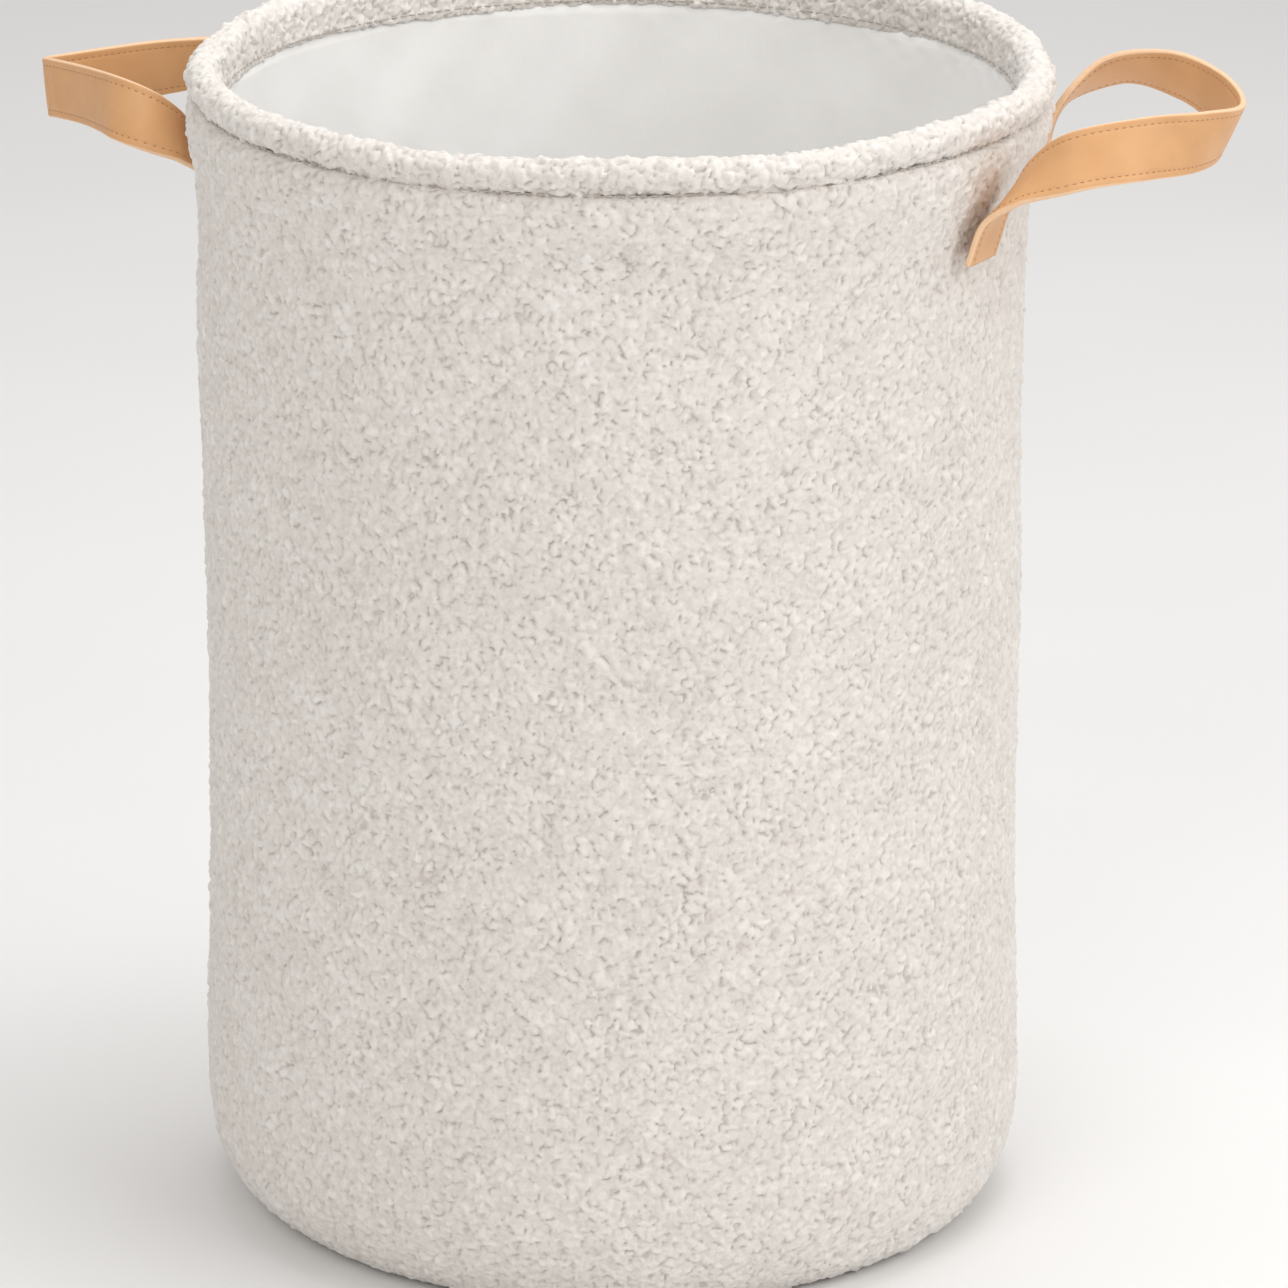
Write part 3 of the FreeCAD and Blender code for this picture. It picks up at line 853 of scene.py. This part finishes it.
def plain_material(name, low, high, rough, grain, depth, metal=0.0):
    """Board, felt, metal, thread and the rest: two close tones with a fine grain."""
    m = Nodes(name)
    colour = m.ramp(m.noise(grain * 6, 3), (0.3, low), (0.7, high))
    m.set(Metallic=metal)
    return m.finish(colour, m.scaled(m.noise(grain * 3), *rough), m.bump(m.noise(grain, 3), depth))


def finish_hidden_nodes():
    """The parts inside the wall keep their CAD shape and get their own finish."""
    board = plain_material("board", (0.36, 0.27, 0.18), (0.46, 0.36, 0.25), (0.7, 0.9), 1.5, 0.1)
    steel = plain_material(
        "steel", (0.5, 0.5, 0.5), (0.62, 0.62, 0.62), (0.25, 0.4), 0.6, 0.02, metal=1.0
    )
    alloy = plain_material(
        "alloy", (0.7, 0.7, 0.71), (0.8, 0.8, 0.81), (0.3, 0.5), 0.6, 0.02, metal=1.0
    )
    tube = plain_material("tube", (0.70, 0.69, 0.66), (0.78, 0.77, 0.74), (0.5, 0.7), 1.0, 0.05)
    thread = plain_material(
        "white_thread", (0.68, 0.66, 0.62), (0.8, 0.78, 0.75), (0.7, 0.9), 0.3, 0.1
    )
    for node, material in (
        ("base_board", board),
        ("rim_wire", steel),
        ("rim_wire_ferrule", alloy),
        ("rim_wire_casing", tube),
        ("lining_seam_thread", thread),
    ):
        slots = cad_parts[node].data.materials
        slots.clear()
        slots.append(material)


# ---------------------------------------------------------------- camera, light and floor
VIEW_TURN = math.radians(15)  # the camera stands this far round to the right of the front
VIEW_TILT = math.radians(18.2)  # and looks down by this much
EYE_RIGHT, EYE_BACK, EYE_UP = 0.0095, 3.150, 1.276  # metres from the middle of the bin's foot


def camera():
    """The main view."""
    lens = bpy.data.cameras.new("camera")
    lens.sensor_width = 36
    lens.lens = 219.2
    lens.clip_end = 50
    eye = bpy.data.objects.new("camera", lens)
    right = Vector((math.cos(VIEW_TURN), math.sin(VIEW_TURN), 0))
    ahead = Vector((-math.sin(VIEW_TURN), math.cos(VIEW_TURN), 0))
    eye.location = EYE_RIGHT * right - EYE_BACK * ahead + Vector((0, 0, EYE_UP))
    eye.rotation_euler = (math.pi / 2 - VIEW_TILT, 0, VIEW_TURN)
    bpy.context.scene.collection.objects.link(eye)
    bpy.context.scene.camera = eye


def light(name, side, front, up, size, power, colour=(1, 1, 1)):
    """A soft square light, placed to the side, front and above as the camera sees it."""
    lamp = bpy.data.lights.new(name, "AREA")
    lamp.shape = "SQUARE"
    lamp.size = size
    lamp.energy = power
    lamp.color = colour
    holder = bpy.data.objects.new(name, lamp)
    right = Vector((math.cos(VIEW_TURN), math.sin(VIEW_TURN), 0))
    near = Vector((math.sin(VIEW_TURN), -math.cos(VIEW_TURN), 0))
    holder.location = right * side + near * front + Vector((0, 0, up))
    aim = Vector((0, 0, 0.3)) - holder.location
    holder.rotation_euler = aim.to_track_quat("-Z", "Y").to_euler()
    bpy.context.scene.collection.objects.link(holder)


def studio():
    """Even light from all round, and three soft lamps."""
    world = bpy.data.worlds.new("studio")
    world.use_nodes = True
    sky = world.node_tree.nodes["Background"]
    sky.inputs["Color"].default_value = (1.0, 0.975, 0.95, 1)
    sky.inputs["Strength"].default_value = 0.58
    bpy.context.scene.world = world
    bpy.context.scene.view_settings.view_transform = "Standard"
    light("key", 2.4, 1.3, 1.9, 2.8, 38, (1.0, 0.994, 0.982))
    light("front", -1.1, 2.7, 2.3, 1.8, 26, (1.0, 0.99, 0.975))
    light("over", 0.3, -0.3, 2.4, 1.4, 22)


def floor():
    """A plain pale floor."""
    m = Nodes("floor")
    colour = m.ramp(m.noise(400, 2), (0.3, (0.83, 0.83, 0.83)), (0.7, (0.86, 0.86, 0.86)))
    material = m.finish(colour, m.scaled(m.noise(200), 0.7, 0.8), m.bump(m.noise(3, 3), 0.05))
    half = 6000.0
    corners = np.array([(-half, -half, 0), (half, -half, 0), (half, half, 0), (-half, half, 0)])
    plane = new_object("floor", mesh_from("floor", corners, np.array([[0, 1, 2, 3]])), material)


camera()
studio()
floor()
boucle = boucle_material()
smooth_white = lining_material()
felt = plain_material("felt", (0.62, 0.61, 0.58), (0.74, 0.73, 0.70), (0.85, 1.0), 0.8, 0.3)
wall = wall_grid()
outer_cloth(boucle, wall)
felt_sleeve(felt, wall)
rim_cloth(boucle)
base_cloth(boucle)
lining(smooth_white)
lining_floor(smooth_white)
cream_thread = thread_material("cream_thread", (0.42, 0.38, 0.33), (0.52, 0.48, 0.43))
ring_stitches("rim_stitches", RING_R + 3.2, SEAM_Z + 1.2, 0.4, cream_thread, "rim_seam_thread")
ring_stitches(
    "facing_stitches", RING_R - 8.6, FACING_Z + 3, 0.45, cream_thread, "facing_seam_thread", (-1, 0)
)
ring_stitches(
    "base_stitches", BASE_R + 0.4, 0.9, 0.45, cream_thread, "base_seam_thread", (0, -1)
)
leather = leather_material()
brown_thread = thread_material("brown_thread", (0.33, 0.155, 0.065), (0.42, 0.21, 0.095))
strap("right", RIGHT_STRAP, leather, brown_thread)
strap("left", LEFT_STRAP, leather, brown_thread)
finish_hidden_nodes()
